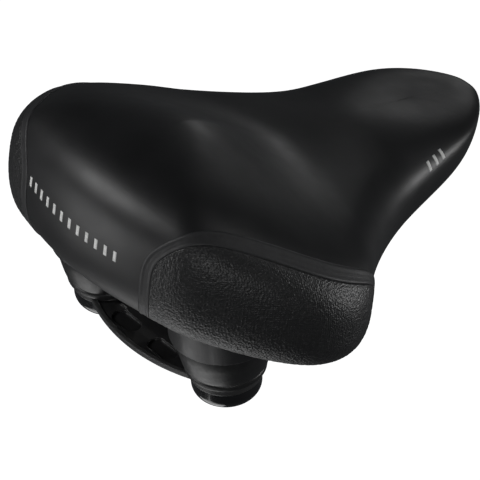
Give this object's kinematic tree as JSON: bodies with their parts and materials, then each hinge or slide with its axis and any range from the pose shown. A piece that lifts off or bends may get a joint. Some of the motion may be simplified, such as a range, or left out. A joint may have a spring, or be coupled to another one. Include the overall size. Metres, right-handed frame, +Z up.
{
  "type": "bicycle saddle",
  "caption": "Wide padded bicycle saddle with a short nose, carried on wire rails and two rubber buffers under the rear.",
  "frame": {"origin": "midway between the two rails, on the level of their axes, in the middle of the straight stretch that a seatpost clamp grips", "axes": "+Y towards the nose (forwards), +X to the rider's right, +Z up"},
  "size_m": [0.2152, 0.26, 0.1379],
  "materials": {
    "skin": "satin",
    "grained_skin": "grained",
    "foam": "matte",
    "gel": "soft",
    "shell": "matte",
    "zinc_steel": "zinc plated",
    "brass_insert": "turned",
    "black_wire": "satin black",
    "bridge": "satin",
    "rubber": "satin",
    "cap": "gloss"
  },
  "bodies": {
    "chassis": {"rail_wire": "black_wire", "bridge_plate": "bridge", "elastomer_left": "rubber", "elastomer_right": "rubber", "lower_stud_left": "zinc_steel", "lower_stud_right": "zinc_steel", "lower_washers": "zinc_steel", "lower_nuts": "zinc_steel", "cap_left": "cap", "cap_right": "cap", "rail_screws": "zinc_steel"},
    "seat": {"cover": "skin", "corner_patch_left": "grained_skin", "corner_patch_right": "grained_skin", "foam_pad": "foam", "gel_pad_left": "gel", "gel_pad_right": "gel", "base_shell": "shell", "cover_staples": "zinc_steel", "shell_insert_left": "brass_insert", "shell_insert_right": "brass_insert", "upper_stud_left": "zinc_steel", "upper_stud_right": "zinc_steel", "nose_clip": "shell", "nose_clip_screws": "zinc_steel"}
  },
  "joints": [
    {"name": "suspension", "type": "hinge", "parent": "chassis", "child": "seat", "pos_m": [0, 0.07715, 0.04873], "axis": [1, 0, 0], "range_deg": [0, 4], "stiffness_Nm_per_rad": 1800, "deforming": ["elastomer_left", "elastomer_right"]}
  ]
}
